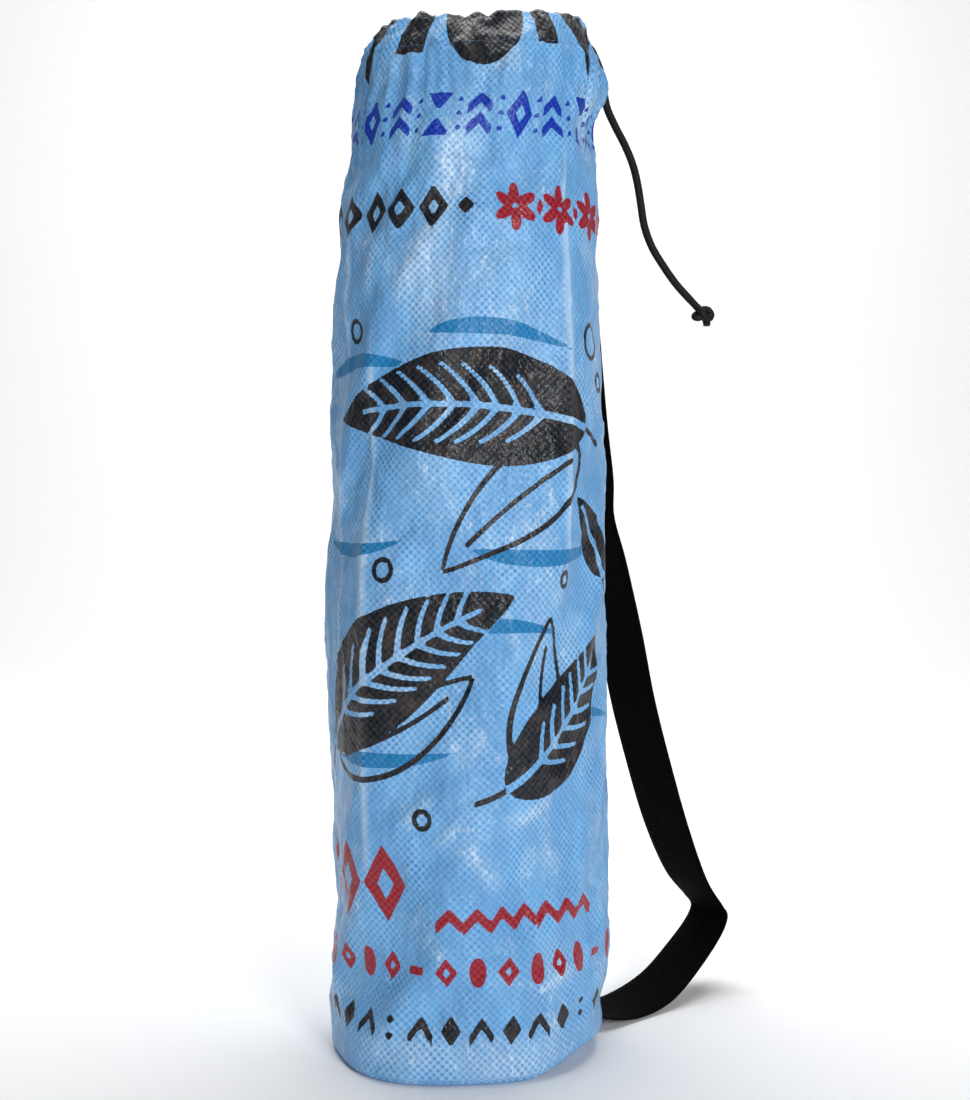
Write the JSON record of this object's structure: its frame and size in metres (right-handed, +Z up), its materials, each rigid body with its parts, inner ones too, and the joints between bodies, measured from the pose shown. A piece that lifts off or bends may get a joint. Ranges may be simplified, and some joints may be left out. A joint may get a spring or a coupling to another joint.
{
  "type": "yoga mat bag",
  "caption": "Tall round drawstring bag for a rolled exercise mat, in printed sack cloth, standing on its base, with a gathered mouth, a knotted cord and a webbing strap.",
  "frame": {"origin": "centre of the round base, on the surface that the bag stands on", "axes": "+Z up along the tube, -Y the printed front, +X towards the side with the cord's end and the strap"},
  "size_m": [0.2785, 0.2418, 0.653],
  "materials": {
    "sack_cloth": "glossy laminated woven tape cloth, printed",
    "cord": "black braided cord",
    "webbing": "black ribbed webbing, matt"
  },
  "bodies": {
    "root": {"bag_body": "sack_cloth", "base_panel": "sack_cloth", "drawcord_loop": "cord", "drawcord_tail": "cord", "drawcord_knot": "cord", "shoulder_strap": "webbing"}
  },
  "joints": []
}
